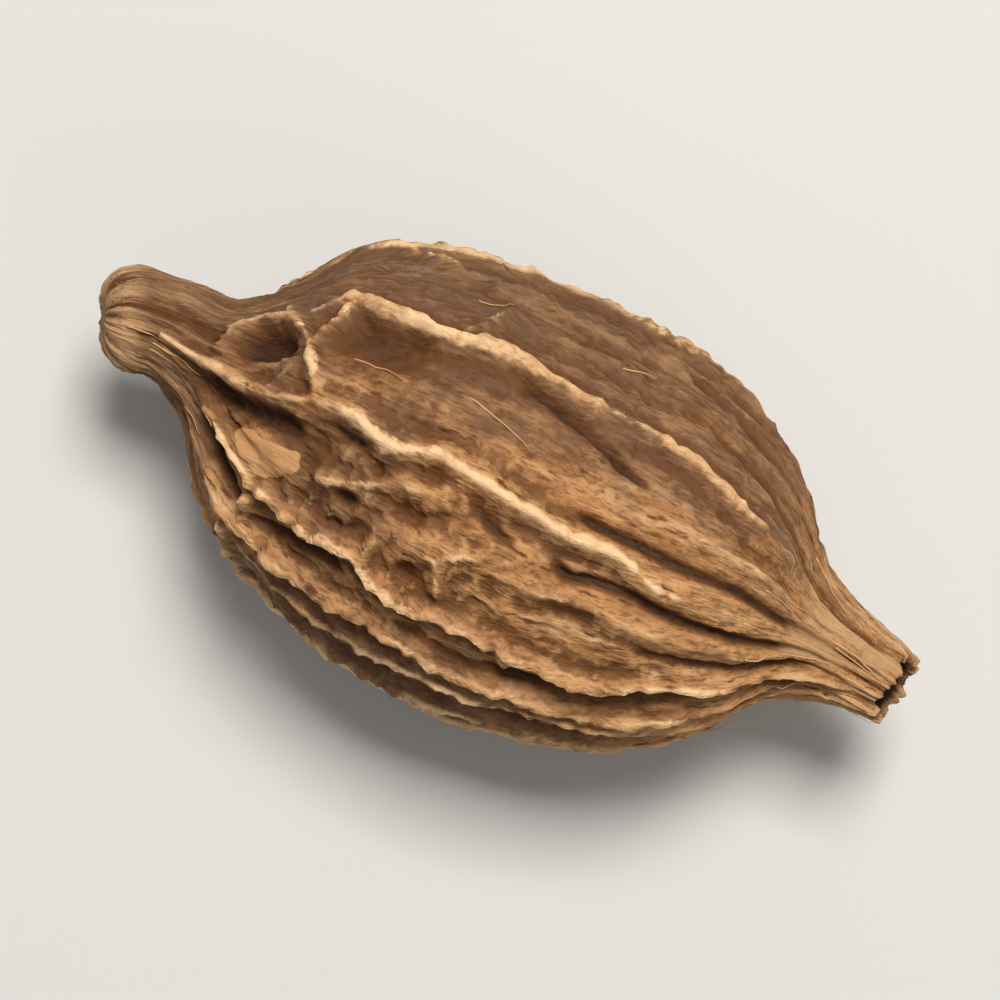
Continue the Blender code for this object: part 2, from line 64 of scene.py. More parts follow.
# The outline from the stalk scar along the outside to the bottom of the tube's mouth: for each point, how far
# along the pod it is and how far from the axis, in mm, and what share of the relief stands out there.
OUTLINE_MM = [
    (-14.98, 0.00, 0.00),
    (-14.94, 0.45, 0.08),
    (-14.90, 0.85, 0.16),
    (-14.72, 1.26, 0.22),
    (-14.34, 1.56, 0.26),
    (-13.74, 1.68, 0.28),
    (-13.00, 1.62, 0.30),
    (-12.30, 1.72, 0.35),
    (-11.60, 1.92, 0.42),
    (-10.90, 2.20, 0.52),
    (-10.00, 3.04, 0.68),
    (-9.10, 4.05, 0.82),
    (-8.00, 5.18, 0.92),
    (-6.25, 6.04, 1.00),
    (-4.35, 6.60, 1.00),
    (-1.65, 6.98, 1.00),
    (1.20, 7.04, 1.00),
    (2.90, 6.86, 1.00),
    (5.15, 6.46, 1.00),
    (7.10, 5.66, 0.94),
    (8.70, 4.56, 0.84),
    (10.00, 3.02, 0.66),
    (10.90, 2.14, 0.54),
    (12.00, 1.62, 0.40),
    (13.20, 1.34, 0.34),
    (14.10, 1.20, 0.30),
    (14.60, 1.16, 0.18),
    (14.54, 1.02, 0.10),
    (13.70, 0.86, 0.06),
    (12.90, 0.70, 0.04),
    (12.60, 0.42, 0.02),
    (12.55, 0.00, 0.00),
]
RIM_POINT = 26  # the outline point on the tube's rim
MOUTH_POINT = 27  # the next one, just inside the mouth
OUTLINE_STEPS = 24  # steps of the smooth outline from one point to the next
LEAST_RADIUS = 0.3 * MM  # distances round the pod are measured on no thinner a stem than this

HEIGHT_SHARE = 0.95  # the pod is a little flatter than it is wide
LOBES = 3.0  # blunt corners, one for each seed chamber
LOBE_SHARE = 0.035  # how far a corner stands out, as a share of the radius
LOBE_TOP_DEG = 90.0  # one of them is on top
BELLY_SWELL = 0.24 * MM  # broad unevenness of the husk over the seeds
SHOULDER_LEAN = 0.14  # the stalk end's shoulder bulges more towards -Y, by this share of its radius
SHOULDER_AT_MM = (-9.9, 1.5)  # its middle, and how far it reaches along the pod
TUBE_TILT_DEG = 18.0  # the tube's mouth looks up and a little to one side
TUBE_SWING_DEG = -8.0
TUBE_BEND_MM = (9.5, 14.5)
KNOB_TILT_DEG = -16.0  # the knob is bent up too, and further to the same side
KNOB_SWING_DEG = 24.0
KNOB_BEND_MM = (-11.5, -15.0)
RIM_SKEW = 0.16 * MM  # the rim is torn at a slant, shorter on top
RIM_SKEW_TURN = 4.3  # where round the rim it is longest, in radians
RIM_TEETH = 0.20 * MM
RIM_FRAY = 0.07 * MM
RIM_REACH = 1.6 * MM  # how far down the tube the torn edge pulls the skin along
# The axis strays sideways a little: distance along the pod and how far towards +Y, in mm.
SWAY_MM = [
    (-15, 0.32), (-13, 0.22), (-11, 0.02), (-7, 0.0), (-2, -0.18), (1, -0.26), (4, -0.18), (8, 0.08),
    (12, 0.0), (15, 0.0),
]
REST_LEVEL = -6.64 * MM  # the surface that the pod lies on, from its axis

# The ribs: where each crest runs round the pod, in degrees from +Y over the top, its height in mm, and how
# far along the pod it starts and ends, in mm.
RIBS = [
    (3, 0.46, -10, 15),
    (20, 0.28, -4, 15),
    (36, 0.28, -1, 15),
    (51, 0.62, -8.0, 9),
    (71, 0.30, 5, 15),
    (90, 0.66, -14, 6.5),
    (107, 0.36, 1, 15),
    (124, 0.64, -10.6, 14),
    (142, 0.58, -10.4, 12),
    (158, 0.50, -8, 15),
    (176, 0.44, -5, 15),
    (194, 0.56, -11, 15),
    (212, 0.38, -4, 13),
    (231, 0.66, -12, 15),
    (254, 0.66, -10, 14),
    (270, 0.32, -4, 12),
    (286, 0.66, -11, 15),
    (303, 0.38, -3, 13),
    (320, 0.58, -9, 13),
    (338, 0.58, -12, 15),
]
# The ribs on top swing from side to side: for each, places along the pod in mm and its angle at each of them.
RIB_PATHS = {
    3: [
        (-11, 58), (-8, 60), (-7.1, 52), (-6, 55.5), (-3.6, 55.5), (-1.2, 54), (3, 54.5), (5, 57), (7.2, 64),
        (15, 62),
    ],
    4: [(-15, 78), (-8, 74), (0, 72), (5, 76), (8, 79), (15, 84)],
    5: [
        (-15, 98), (-11.5, 99), (-10.6, 101), (-9, 95.3), (-7, 91), (-5.7, 88.7), (-4.9, 90.2), (-3.8, 88.9),
        (-1.7, 87.9), (0.4, 89.3), (3.3, 91.2), (4.9, 94), (7, 96.6), (9.4, 98), (15, 100),
    ],
    6: [(-15, 110), (-8, 107), (1, 107), (7, 109), (10, 113), (15, 114)],
    7: [
        (-12, 118), (-10.3, 118.5), (-9.5, 118.5), (-8.3, 120.5), (-7.6, 126), (-6.5, 127), (-4.7, 124.8),
        (-3.5, 124), (-1.7, 130.5), (-0.6, 129), (0.7, 126.2), (1.8, 128.6), (3, 132), (5.4, 132.5),
        (6.8, 129), (15, 129),
    ],
    8: [(-12, 140), (-9.5, 147), (-8.4, 149), (-7.4, 147), (-4, 144), (3, 147), (6, 149), (15, 145)],
}
RIB_BEND = (0.009, 0.0040, 0.0016)  # broad, short and jagged straying of the crests, in turns
RIB_HALF_WIDTH = 0.31 * MM
CROWDED_SHARE = 0.24  # where ribs run close, half a rib's width as a share of their distance
QUIET_RIB_SHARE = 0.45  # how uneven the other ribs are, beside those on top
CREST_CHIP = 0.26  # chips out of a crest, as a share of its height
RIB_FADE = 1.4 * MM  # the length over which a rib rises from the husk
GUTTER_SHARE = 0.26  # the groove at a rib's foot, as a share of its height
SINK_SHARE = 0.035  # how far the husk sinks between two ribs, as a share of their distance
WIDEST_SINK = 3.0 * MM  # the distance beyond which it sinks no further
CLEAR_HEIGHT = 0.45 * MM  # a crest as high as this has no groove, hollow or streak in it

# Short raised links between the ribs, which close off pits like a net: each is the two ends, as a place along
# the pod in mm and an angle, and its height in mm.
LINKS = [
    ((-12.8, 98), (-9.1, 95.5), 1.00),
    ((-7.7, 73), (-8.6, 61), 0.40),
    ((-8.6, 61), (-9.0, 48), 0.34),
    ((-7.7, 73), (-7.3, 60), 0.46),
    ((-7.3, 60), (-7.0, 54), 0.50),
    ((-7.7, 73), (-7.1, 83), 0.44),
    ((-7.1, 83), (-6.7, 89), 0.46),
    ((-8.6, 61), (-9.6, 57), 0.36),
    ((-9.6, 57), (-10.4, 66), 0.38),
    ((-10.4, 66), (-10.7, 84), 0.40),
    ((-10.4, 66), (-12.4, 60), 0.40),
    ((-7.9, 82), (-8.3, 92), 0.34),
    ((-7.6, 132), (-7.5, 146), 0.50),
    ((-11.2, 84), (-12.6, 74), 0.40),
    ((-5.6, 108), (-4.2, 103), 0.34),
    ((-4.2, 103), (-3.2, 98), 0.36),
    ((-4.2, 103), (-3.2, 114), 0.32),
    ((-3.2, 98), (-1.8, 96), 0.36),
    ((-3.2, 114), (-3.4, 124), 0.36),
    ((-3.2, 114), (-1.2, 112), 0.34),
    ((-1.2, 112), (0.2, 104), 0.32),
    ((-1.2, 112), (-0.3, 128), 0.34),
    ((1.8, 128), (2.9, 147), 0.30),
    ((-3.6, 55), (-2.4, 36), 0.28),
    ((-8.0, 158), (-7.0, 194), 0.45),
    ((-9.4, 194), (-8.1, 231), 0.50),
    ((-6.4, 194), (-4.0, 212), 0.36),
    ((-7.2, 231), (-8.0, 254), 0.45),
    ((-8.9, 254), (-9.4, 286), 0.45),
    ((-5.0, 254), (-3.6, 270), 0.30),
    ((-7.9, 286), (-7.0, 320), 0.45),
    ((-9.2, 320), (-8.4, 338), 0.50),
    ((-8.8, 338), (-9.6, 363), 0.50),
    ((-6.8, 338), (-5.0, 363), 0.34),
    ((-7.0, 3), (-4.6, 20), 0.34),
]
LINK_HALF_WIDTH = 0.26 * MM

# Dark hollows: the place along the pod in mm, the angle, half the length, half the width and the depth in mm.
HOLLOWS = [
    (-9.35, 73, 1.05, 0.66, 1.10),
    (-5.9, 66, 2.00, 1.00, 0.40),
    (-6.4, 103, 1.10, 0.80, 0.35),
    (-4.6, 59, 0.55, 0.25, 0.30),
    (-7.35, 87.3, 0.28, 0.22, 0.35),
    (-4.7, 109.4, 0.36, 0.32, 0.45),
    (-3.6, 109.3, 0.30, 0.26, 0.42),
    (-4.7, 120, 0.28, 0.26, 0.35),
    (-3.85, 98.7, 0.42, 0.28, 0.40),
    (-2.45, 93, 0.55, 0.28, 0.36),
    (-2.6, 104, 0.80, 0.50, 0.26),
    (-1.8, 120, 0.60, 0.40, 0.32),
    (3.3, 110, 1.00, 0.50, 0.26),
    (-9.3, 212, 1.20, 0.70, 0.50),
    (-9.4, 270, 1.20, 0.80, 0.50),
    (-9.0, 329, 1.20, 0.60, 0.45),
]
# A smooth papery scrap of the outer skin that still lies on the husk: its corners, as places along the pod in
# mm and angles, its thickness, and how far its edge is frayed.
SCRAP_CORNERS = [(-9.1, 115.5), (-8.5, 108), (-6.8, 107), (-6.4, 112), (-7.3, 122.5)]
SCRAP_THICKNESS = 0.13 * MM
SCRAP_FRAY = 0.16 * MM

# Long slits between the folds of the husk: for each, half its width and its depth in mm, then the places that
# it runs through, in mm along the pod and degrees round it.
SLITS = [
    (0.25, 0.90, [(-10.4, 128), (-9.8, 133), (-9.1, 136), (-8.4, 138), (-7.8, 139.5), (-7.3, 141)]),
    (0.36, 0.75, [(-11.0, 108), (-9.3, 104.5), (-7.6, 100.5), (-6.8, 101)]),
    (0.15, 0.42, [(-6.3, 92), (-5.4, 94), (-4.2, 93.5)]),
    (0.24, 0.50, [(-7.4, 141), (-5.8, 135.5), (-4.3, 131.5), (-3.6, 134)]),
    (0.17, 0.40, [(-1.5, 57), (-0.3, 59.5), (0.9, 61.8), (2.0, 64.5), (3.5, 68.8), (4.5, 70.6)]),
    (0.16, 0.45, [(2.0, 84.6), (3.2, 86), (4.6, 86.3), (6.1, 87.5), (8.4, 87.8), (10.1, 89.5), (13.8, 96)]),
    (0.17, 0.48, [(2.0, 99), (2.9, 101.3), (3.9, 99.8), (5.3, 100.2), (6.8, 103.4), (10, 106), (12.5, 107)]),
    (0.15, 0.34, [(5.8, 117.5), (7.1, 118), (9.0, 119), (11.5, 122)]),
    (0.28, 0.55, [(1.5, 139), (3.0, 140.5), (5.5, 140.5), (7.0, 138.5), (8.5, 138), (10.5, 138)]),
    (0.22, 0.40, [(2.0, 168), (4.7, 169), (7.0, 168), (9.5, 167)]),
    (0.18, 0.36, [(-1.2, 93.5), (0, 98), (1.0, 99.6)]),
    (0.15, 0.30, [(2.0, 8), (4.2, 20), (6.5, 24), (8.8, 25), (11.5, 30)]),
    (0.14, 0.26, [(5.0, 40), (8.0, 44), (10.5, 50), (13.0, 54)]),
    (0.14, 0.24, [(3.5, 356), (6.0, 362), (8.2, 365), (9.7, 364), (11.5, 362)]),
    (0.13, 0.22, [(-4.5, 28), (-1.0, 31), (2.5, 30)]),
]
MORE_SLITS = 30  # slits at random places on the sides and the underside
MORE_SLITS_START_MM = (-9.0, 7.0)
MORE_SLITS_LENGTH_MM = (1.5, 5.5)
MORE_SLITS_ANGLE_DEG = (178, 344)
MORE_SLITS_HALF_MM = (0.14, 0.26)
MORE_SLITS_DEPTH_MM = (0.22, 0.48)

# The knobbly net between the ribs. Cells are counted along the pod and round it.
NET_HEIGHT = 0.26 * MM
NET_CELLS = (27, 40)
NET_BEND = (0.016, 0.012)  # how far it strays along and round, as shares of the length and of a turn
NET_BEND_CELLS = (13, 17)
NETTED_SPOT = (-2.6, 107, 4.4, 2.4)  # where the net is strongest: place, angle, half length and half width
PATCH_CELLS = (5, 7)  # weaker patches of it elsewhere
PATCH_SHARE = 0.75
PLAIN_SHARE = 0.22  # how much of it is left on the plain husk
CALM_DEG = 8.0  # round this angle the husk has little net

# What dried into the skin finer than the net.
VEIN_HEIGHT = 0.24 * MM
VEIN_CELLS = (27, 42)
VEIN_WIDTH = 0.15  # as a share of a cell
NODULE_HEIGHT = 0.10 * MM
NODULE_CELLS = (46, 84)
FINE_BEND = (0.010, 0.007)  # how far veins and nodules stray further than the net
FINE_BEND_CELLS = (40, 50)
FIBRE_HEIGHT = 0.085 * MM
FIBRE_CELLS = (15, 130)
THIN_FIBRE_CELLS = (34, 240)
WRINKLE_HEIGHT = 0.055 * MM
WRINKLE_CELLS = (120, 110)
STREAK_DEPTH = 0.13 * MM
STREAK_CELLS = (9, 64)
END_RIDGE_HEIGHT = 0.13 * MM  # lengthwise ridges of the knob and the tube
END_RIDGE_CELLS = (7, 24)
THIN_END_RIDGE_CELLS = (16, 58)

ROWS = 312
COLUMNS_PER_GAP = 15
SEED = 11


def smooth_step(x, low, high):
    """0 at low, 1 at high, eased at both ends."""
    t = np.clip((x - low) / (high - low), 0.0, 1.0)
    return t * t * (3.0 - 2.0 * t)


def along_share(x):
    """The distance along the pod as a share of its length."""
    return (x / MM + 15.0) / 30.0


def field(seed, along, turns, cells_along, cells_round):
    """A smooth random field from -1 to 1. It repeats once round the pod and doesn't repeat along it."""
    values = np.random.default_rng(seed).uniform(-1.0, 1.0, (cells_along + 2, cells_round))
    a = np.clip(along, 0.0, 1.0) * cells_along
    b = np.mod(turns, 1.0) * cells_round
    row = np.floor(a).astype(int)
    column = np.floor(b).astype(int) % cells_round
    fa = smooth_step(a - np.floor(a), 0.0, 1.0)
    fb = smooth_step(b - np.floor(b), 0.0, 1.0)
    after = (column + 1) % cells_round
    near = values[row, column] * (1 - fb) + values[row, after] * fb
    far = values[row + 1, column] * (1 - fb) + values[row + 1, after] * fb
    return near * (1 - fa) + far * fa


def cells(seed, along, turns, cells_along, cells_round):
    """Scattered cells like cobbles: how far off the nearest middle and edge are, in cell widths."""
    offsets = np.random.default_rng(seed).uniform(0.12, 0.88, (2, cells_along + 3, cells_round))
    a = np.clip(along, 0.0, 1.0) * cells_along + 1.0
    b = np.mod(turns, 1.0) * cells_round
    row = np.floor(a).astype(int)
    column = np.floor(b).astype(int)
    nearest = np.full(a.shape, 9.0)
    second = np.full(a.shape, 9.0)
    for step_row in (-1, 0, 1):
        for step_column in (-1, 0, 1):
            at_row = np.clip(row + step_row, 0, cells_along + 2)
            at_column = (column + step_column) % cells_round
            away_row = row + step_row + offsets[0, at_row, at_column] - a
            away_column = column + step_column + offsets[1, at_row, at_column] - b
            away = np.hypot(away_row, away_column)
            second = np.minimum(second, np.maximum(nearest, away))
            nearest = np.minimum(nearest, away)
    return nearest, second - nearest


def catmull_rom(points, per_span):
    """A smooth curve through the points, with per_span steps between each two."""
    points = np.asarray(points, float)
    ends = np.vstack([2 * points[0] - points[1], points, 2 * points[-1] - points[-2]])
    t = np.linspace(0.0, 1.0, per_span, endpoint=False)[:, None]
    spans = []
    for p0, p1, p2, p3 in zip(ends, ends[1:], ends[2:], ends[3:]):
        slope_in = (p2 - p0) / 2
        slope_out = (p3 - p1) / 2
        spans.append(
            (2 * t**3 - 3 * t**2 + 1) * p1
            + (t**3 - 2 * t**2 + t) * slope_in
            + (3 * t**2 - 2 * t**3) * p2
            + (t**3 - t**2) * slope_out
        )
    return np.vstack([*spans, points[-1:]])


def rib_angles(x):
    """The angle of every rib's crest at each x, in turns, with one last axis for the ribs."""
    along = along_share(x)
    angles = []
    for number, (angle, *_) in enumerate(RIBS):
        start = angle / 360.0 + 0 * x
        broad, short, jagged = RIB_BEND
        if number in RIB_PATHS:
            places, degrees = zip(*RIB_PATHS[number])
            start = np.interp(x / MM, places, degrees) / 360.0
            broad = 0.0
        bend = broad * field(SEED, along, start, 6, 9) + short * field(SEED + 1, along, start, 19, 20)
        angles.append(start + bend + jagged * field(SEED + 2, along, start, 64, 20))
    return np.stack(angles, -1)


def rib_heights(x):
    """The height of every rib at each x: ragged and chipped, and fading at both ends."""
    along = along_share(x)
    heights = []
    for number, (_, height_mm, start_mm, end_mm) in enumerate(RIBS):
        tooth = field(SEED + 20 + number, along, 0 * x, 17, 2)
        notch = field(SEED + 50 + number, along, 0 * x, 36, 2)
        chip = field(SEED + 80 + number, along, 0 * x, 95, 2)
        present = smooth_step(x, start_mm * MM - RIB_FADE, start_mm * MM + RIB_FADE)
        present = present * (1.0 - smooth_step(x, end_mm * MM - RIB_FADE, end_mm * MM + RIB_FADE))
        uneven = 1.0 if number in RIB_PATHS else QUIET_RIB_SHARE
        rough = 0.86 + uneven * (0.24 * tooth + 0.14 * notch + CREST_CHIP * chip * np.abs(chip))
        heights.append(height_mm * MM * present * rough)
    return np.stack(heights, -1)


def rib_profile(away, height, half):
    """A thin crest on a low broad fold, with a groove along its foot."""
    thin = np.exp(-((away / (0.60 * half)) ** 1.25))
    broad = np.exp(-((away / (1.6 * half)) ** 2))
    crest = height * (0.60 * thin + 0.40 * broad)
    groove = GUTTER_SHARE * height * np.exp(-(((away / half - 2.0) / 0.8) ** 2))
    return crest, groove


def line_distance(x, turns, radius, start, end):
    """The distance of points on the husk from a short line on it."""
    across = (np.mod(turns - start[1] / 360.0 + 0.5, 1.0) - 0.5) * 2 * np.pi * radius
    run = (end[0] - start[0]) * MM
    run_across = (end[1] - start[1]) / 360.0 * 2 * np.pi * radius
    ahead = x - start[0] * MM
    share = np.clip((ahead * run + across * run_across) / (run**2 + run_across**2), 0.0, 1.0)
    return np.hypot(ahead - share * run, across - share * run_across)


def slit_of(x, turns, radius, half_mm, depth_mm, path):
    """How deep a long slit cuts into the husk: it runs through the places of its path, and its ends fade."""
    away = np.full(x.shape, 1.0)
    for start, end in zip(path, path[1:]):
        away = np.minimum(away, line_distance(x, turns, radius, start, end))
    first, last = path[0][0] * MM, path[-1][0] * MM
    ease = min(0.9 * MM, 0.4 * (last - first))
    begun = smooth_step(x, first - 0.1 * MM, first + ease)
    ended = smooth_step(x, last - ease, last + 0.1 * MM)
    return depth_mm * MM * (begun * (1.0 - ended)) * np.exp(-((away / (half_mm * MM)) ** 2))


def spot(x, turns, radius, place_mm, angle, half_length_mm, half_width_mm):
    """1 at the middle of an oval spot on the husk, falling to 0 outside it."""
    across = (np.mod(turns - angle / 360.0 + 0.5, 1.0) - 0.5) * 2 * np.pi * radius
    ahead = x - place_mm * MM
    far = (ahead / (half_length_mm * MM)) ** 2 + (across / (half_width_mm * MM)) ** 2
    return np.exp(-(far**2))


def spine(x):
    """Where the pod's axis runs, and the two directions across it, for each distance along the pod."""
    grid = np.linspace(-16.0 * MM, 16.0 * MM, 641)
    at_tube = smooth_step(grid, TUBE_BEND_MM[0] * MM, TUBE_BEND_MM[1] * MM)
    at_knob = smooth_step(-grid, -KNOB_BEND_MM[0] * MM, -KNOB_BEND_MM[1] * MM)
    rise = np.radians(TUBE_TILT_DEG * at_tube + KNOB_TILT_DEG * at_knob)
    swing = np.radians(TUBE_SWING_DEG * at_tube + KNOB_SWING_DEG * at_knob)
    tangent = np.stack([np.cos(rise) * np.cos(swing), np.sin(swing), np.sin(rise) * np.cos(swing)], 1)
    centre = np.cumsum(tangent * (grid[1] - grid[0]), 0)
    centre -= centre[len(grid) // 2]
    centre[:, 1] += np.interp(grid / MM, *zip(*SWAY_MM)) * MM
    side = np.stack([-np.sin(swing), np.cos(swing), 0 * swing], 1)
    up = np.cross(tangent, side)
    up /= np.linalg.norm(up, axis=1, keepdims=True)
    return [np.stack([np.interp(x, grid, line[:, i]) for i in range(3)], -1) for line in (centre, side, up)]


# The skin's points are laid out in rows round the pod. Each column keeps its place between two ribs.
curve = catmull_rom(OUTLINE_MM, OUTLINE_STEPS)
curve[:, :2] *= MM
length = np.concatenate([[0.0], np.cumsum(np.hypot(*np.diff(curve[:, :2], axis=0).T))])
at = np.linspace(0.0, length[-1], ROWS)
row_x, row_radius, row_share = (np.interp(at, length, curve[:, i])[:, None] for i in range(3))
slope_x = np.gradient(row_x[:, 0])[:, None]
slope_out = np.gradient(row_radius[:, 0])[:, None]
slope = np.hypot(slope_x, slope_out)
rim_at = length[OUTLINE_STEPS * RIM_POINT]
mouth_at = length[OUTLINE_STEPS * MOUTH_POINT]
near_rim = np.clip(1.0 - np.abs(at - rim_at) / RIM_REACH, 0.0, 1.0)[:, None]
inside_mouth = smooth_step(at, rim_at - 0.1 * MM, mouth_at + 0.5 * MM)[:, None]

rib = np.repeat(np.arange(len(RIBS)), COLUMNS_PER_GAP)
share = np.tile(np.arange(COLUMNS_PER_GAP) / COLUMNS_PER_GAP, len(RIBS))[None, :]
after = (rib + 1) % len(RIBS)
angles = rib_angles(row_x[:, 0])
heights = rib_heights(row_x[:, 0])
gap = np.mod(angles[:, after] - angles[:, rib], 1.0)
turns = angles[:, rib] + share * gap
x = row_x + 0 * turns
radius = np.maximum(row_radius, LEAST_RADIUS) + 0 * turns
along = along_share(x)

# The ribs and links, then the hollows and the knobbly net between them.
spacing = gap * 2 * np.pi * radius
half = np.minimum(RIB_HALF_WIDTH, CROWDED_SHARE * spacing)
crest, groove = rib_profile(share * spacing, heights[:, rib], half)
crest_after, groove_after = rib_profile((1.0 - share) * spacing, heights[:, after], half)
crest = np.maximum(crest, crest_after)
groove = np.maximum(groove, groove_after)
for start, end, height_mm in LINKS:
    away = line_distance(x, turns, radius, start, end)
    ragged = 1.0 + 0.5 * field(SEED + 8, along, turns, 44, 60)
    thin = np.exp(-((away / (0.62 * LINK_HALF_WIDTH)) ** 1.3))
    broad = np.exp(-((away / (1.7 * LINK_HALF_WIDTH)) ** 2))
    crest = np.maximum(crest, ragged * height_mm * MM * (0.55 * thin + 0.45 * broad))
clear = 1.0 - np.clip(crest / CLEAR_HEIGHT, 0.0, 1.0)
hollow = SINK_SHARE * np.minimum(spacing, WIDEST_SINK) * np.sin(np.pi * share)
pit = 0 * x
for place, angle_deg, length_mm, width_mm, depth_mm in HOLLOWS:
    pit = pit + depth_mm * MM * clear * spot(x, turns, radius, place, angle_deg, length_mm, width_mm)
chance = np.random.default_rng(SEED + 30)
more_slits = []
for _ in range(MORE_SLITS):
    start_mm = chance.uniform(*MORE_SLITS_START_MM)
    run_mm = chance.uniform(*MORE_SLITS_LENGTH_MM)
    angle_deg = chance.uniform(*MORE_SLITS_ANGLE_DEG)
    bends = angle_deg + np.cumsum(chance.normal(0.0, 3.0, 4))
    path = [(start_mm + run_mm * k / 3, float(bend)) for k, bend in enumerate(bends)]
    more_slits.append((chance.uniform(*MORE_SLITS_HALF_MM), chance.uniform(*MORE_SLITS_DEPTH_MM), path))
slit = 0 * x
for half_mm, depth_mm, path in SLITS + more_slits:
    slit = np.maximum(slit, slit_of(x, turns, radius, half_mm, depth_mm, path))

# The scrap is what lies inside all of the lines from corner to corner.
scrap_middle = sum(corner[1] for corner in SCRAP_CORNERS) / len(SCRAP_CORNERS) / 360.0
scrap_across = (np.mod(turns - scrap_middle + 0.5, 1.0) - 0.5) * 2 * np.pi * radius
inside_scrap = 1.0 + 0 * x
for (near_mm, near_deg), (far_mm, far_deg) in zip(SCRAP_CORNERS, SCRAP_CORNERS[1:] + SCRAP_CORNERS[:1]):
    near_across = (near_deg / 360.0 - scrap_middle) * 2 * np.pi * radius
    run_across = (far_deg - near_deg) / 360.0 * 2 * np.pi * radius
    run = (far_mm - near_mm) * MM
    side_of_edge = run * (scrap_across - near_across) - run_across * (x - near_mm * MM)
    inside_scrap = np.minimum(inside_scrap, side_of_edge / np.hypot(run, run_across))
frayed = SCRAP_FRAY * field(SEED + 110, along, turns, 40, 50)
frayed = frayed + 0.5 * SCRAP_FRAY * field(SEED + 111, along, turns, 90, 120)
scrap = smooth_step(inside_scrap + frayed, -0.06 * MM, 0.16 * MM)

towards_tube = smooth_step(x, -0.5 * MM, 5.0 * MM)
calm = smooth_step(np.cos(2 * np.pi * (turns - CALM_DEG / 360.0)), 0.60, 0.80)
strayed_along = along + NET_BEND[0] * field(SEED + 115, along, turns, *NET_BEND_CELLS)
strayed_turns = turns + NET_BEND[1] * field(SEED + 116, along, turns, *NET_BEND_CELLS)
patchy = smooth_step(field(SEED + 101, strayed_along, strayed_turns, *PATCH_CELLS), -0.2, 0.7)
netted = np.maximum(spot(x, turns, radius, *NETTED_SPOT), PATCH_SHARE * patchy * (1.0 - calm))
netted = (PLAIN_SHARE + (1.0 - PLAIN_SHARE) * netted) * (1.0 - scrap) * (1.0 - 0.6 * towards_tube)
lumps = 1.0 - np.abs(field(SEED + 3, strayed_along, strayed_turns, *NET_CELLS))
net = NET_HEIGHT * (lumps**1.6 - 0.5) * netted
swell = BELLY_SWELL * field(SEED + 4, along, turns, 5, 5)
relief = crest - groove * clear - hollow - pit - slit + net + swell + SCRAP_THICKNESS * scrap

# The finer skin: nodules, a net of veins, long fibres, short wrinkles, streaks, and the ridges of both ends.
bent_along = strayed_along + FINE_BEND[0] * field(SEED + 104, along, turns, *FINE_BEND_CELLS)
bent_turns = strayed_turns + FINE_BEND[1] * field(SEED + 112, along, turns, *FINE_BEND_CELLS)
_, edge = cells(SEED + 103, bent_along, bent_turns, *VEIN_CELLS)
veins = VEIN_HEIGHT * (np.exp(-((edge / VEIN_WIDTH) ** 2)) - 0.35) * netted * (0.4 + 0.6 * clear)
away, _ = cells(SEED + 102, bent_along, bent_turns, *NODULE_CELLS)
nodules = NODULE_HEIGHT * (0.5 - np.clip(away, 0.0, 1.0)) * (0.30 + 0.70 * netted)
thick_lines = np.abs(field(SEED + 105, strayed_along, strayed_turns, *FIBRE_CELLS))
thin_lines = np.abs(field(SEED + 106, strayed_along, strayed_turns, *THIN_FIBRE_CELLS))
fibres = FIBRE_HEIGHT * (1.0 - 2.0 * thick_lines)
fibres = fibres + 0.5 * FIBRE_HEIGHT * (1.0 - 2.0 * thin_lines)
wrinkles = WRINKLE_HEIGHT * field(SEED + 107, bent_along, bent_turns, *WRINKLE_CELLS)
streak_lines = np.abs(field(SEED + 109, strayed_along, strayed_turns, *STREAK_CELLS))
streaks = STREAK_DEPTH * (1.0 - streak_lines) ** 5 * clear
streaks = streaks * (0.35 + 0.65 * towards_tube) * (1.0 - scrap)
relief = relief + nodules + veins - streaks + (fibres + wrinkles) * (1.0 - 0.55 * scrap)
relief = relief * row_share
at_ends = smooth_step(-row_radius, -3.4 * MM, -1.8 * MM) * smooth_step(row_radius, 0.4 * MM, 1.2 * MM)
at_ends = at_ends * (1.0 - inside_mouth)
end_ridges = 1.0 - 2.0 * np.abs(field(SEED + 113, along, turns, *END_RIDGE_CELLS))
thin_ridges = 1.0 - 2.0 * np.abs(field(SEED + 114, along, turns, *THIN_END_RIDGE_CELLS))
end_ridges = end_ridges + 0.45 * thin_ridges
relief = relief + END_RIDGE_HEIGHT * end_ridges * at_ends
relief[0] = relief[-1] = 0.0

# The relief stands square to the outline. The rim is torn, and the section has three blunt corners.
angle = 2 * np.pi * turns
torn = RIM_SKEW * np.cos(angle - RIM_SKEW_TURN) + RIM_TEETH * field(SEED + 6, 0.5 + 0 * turns, turns, 2, 11)
torn = torn + RIM_FRAY * field(SEED + 108, 0.5 + 0 * turns, turns, 2, 48)
length_at = x - relief * slope_out / slope + torn * near_rim
out = np.maximum(row_radius + relief * slope_x / slope, 0.0)
body = smooth_step(row_radius, 2.0 * MM, 5.0 * MM)
lean = np.exp(-(((x / MM - SHOULDER_AT_MM[0]) / SHOULDER_AT_MM[1]) ** 2)) * SHOULDER_LEAN
lobes = LOBE_SHARE * body * np.cos(LOBES * (angle - np.radians(LOBE_TOP_DEG)))
out = out * (1.0 + lobes - lean * np.cos(angle))
centre, side, up = spine(length_at)
skin = centre + side * (out * np.cos(angle))[..., None] + up * (out * np.sin(angle) * HEIGHT_SHARE)[..., None]

# The pod lies on its worn ribs, with its middle where the plain solid has its own.
solid_low, solid_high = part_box("pod")
skin[..., 2] = np.maximum(skin[..., 2] - REST_LEVEL, 0.0)
skin_low, skin_high = skin.min((0, 1)), skin.max((0, 1))
for axis in (0, 1):
    skin[..., axis] += (solid_low[axis] + solid_high[axis]) / 2 - (skin_low[axis] + skin_high[axis]) / 2

